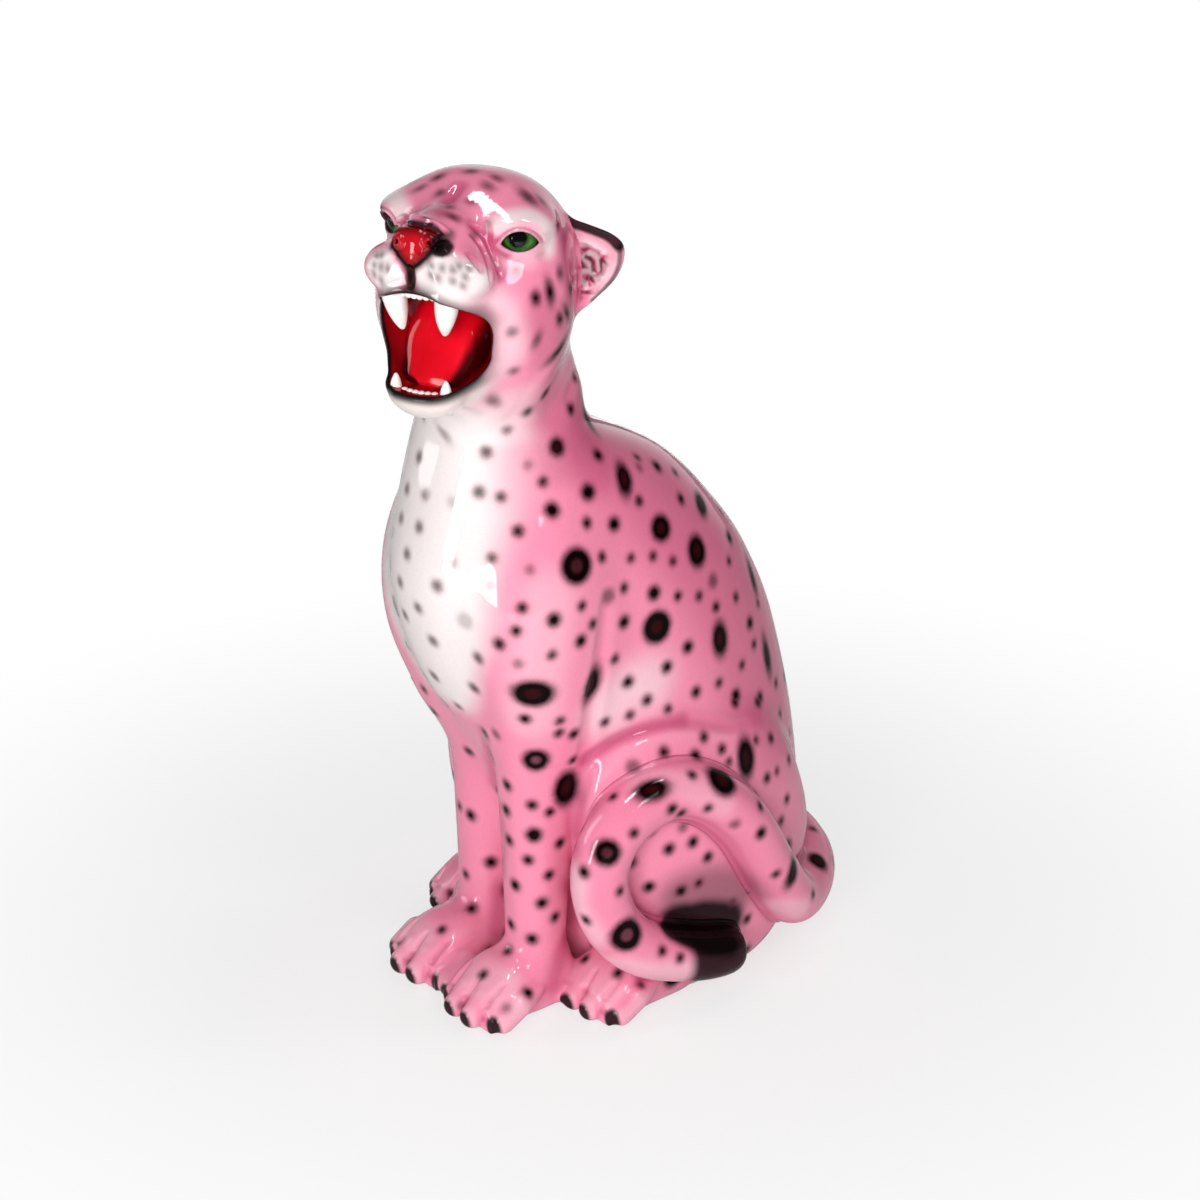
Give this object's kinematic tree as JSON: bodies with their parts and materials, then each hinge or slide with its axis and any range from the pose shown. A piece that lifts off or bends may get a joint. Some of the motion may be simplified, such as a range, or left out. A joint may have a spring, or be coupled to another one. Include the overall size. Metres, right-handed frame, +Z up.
{
  "type": "leopard figurine",
  "caption": "Sitting leopard ornament in glazed earthenware with its head turned, mouth open and tail curled round one haunch; stands on felt pads on a floor or shelf.",
  "frame": {"origin": "on the floor, under the middle of the torso", "axes": "+Z up from the floor, -Y towards the chest and forepaws, +X towards the animal's left side, where the tail curls"},
  "size_m": [0.2061, 0.2976, 0.4819],
  "materials": {
    "glaze": "glossy pink glaze with airbrushed dark spots and white chest",
    "mouth_glaze": "glossy red glaze",
    "tooth_glaze": "glossy white glaze",
    "eye_glass": "glossy green eye with a black pupil",
    "felt": "matt black felt"
  },
  "bodies": {
    "root": {"torso": "glaze", "head": "glaze", "left_ear": "glaze", "right_ear": "glaze", "left_foreleg": "glaze", "right_foreleg": "glaze", "left_haunch": "glaze", "right_haunch": "glaze", "left_hind_paw": "glaze", "right_hind_paw": "glaze", "tail": "glaze", "tongue": "mouth_glaze", "upper_left_fang": "tooth_glaze", "upper_right_fang": "tooth_glaze", "lower_left_fang": "tooth_glaze", "lower_right_fang": "tooth_glaze", "upper_incisors": "tooth_glaze", "lower_incisors": "tooth_glaze", "left_eye": "eye_glass", "right_eye": "eye_glass", "felt_pads": "felt"}
  },
  "joints": []
}
